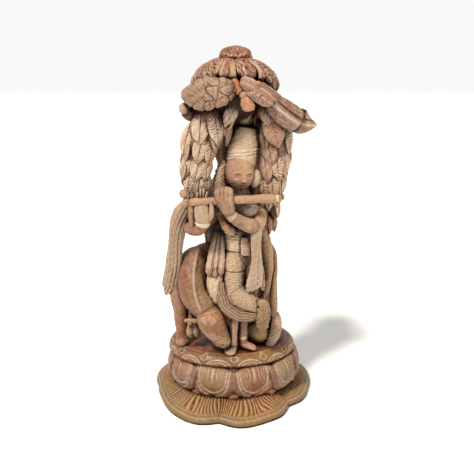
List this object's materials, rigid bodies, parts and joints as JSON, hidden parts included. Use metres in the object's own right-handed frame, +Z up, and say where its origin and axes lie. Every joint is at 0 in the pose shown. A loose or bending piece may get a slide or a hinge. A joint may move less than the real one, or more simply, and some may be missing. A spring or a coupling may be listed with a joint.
{
  "type": "krishna figure",
  "caption": "Carved soapstone figure of a flute player standing with a cow under a leafy tree, on a lotus plinth.",
  "frame": {"origin": "centre of the plinth, on its flat underside", "axes": "+Z up the tree, -Y the carved front, +X to the right as seen from the front"},
  "size_m": [0.1423, 0.1472, 0.3],
  "materials": {
    "soapstone": "hand carved, lightly polished, pale dust in the incised lines"
  },
  "bodies": {
    "root": {"krishna_figure": "soapstone"}
  },
  "joints": []
}
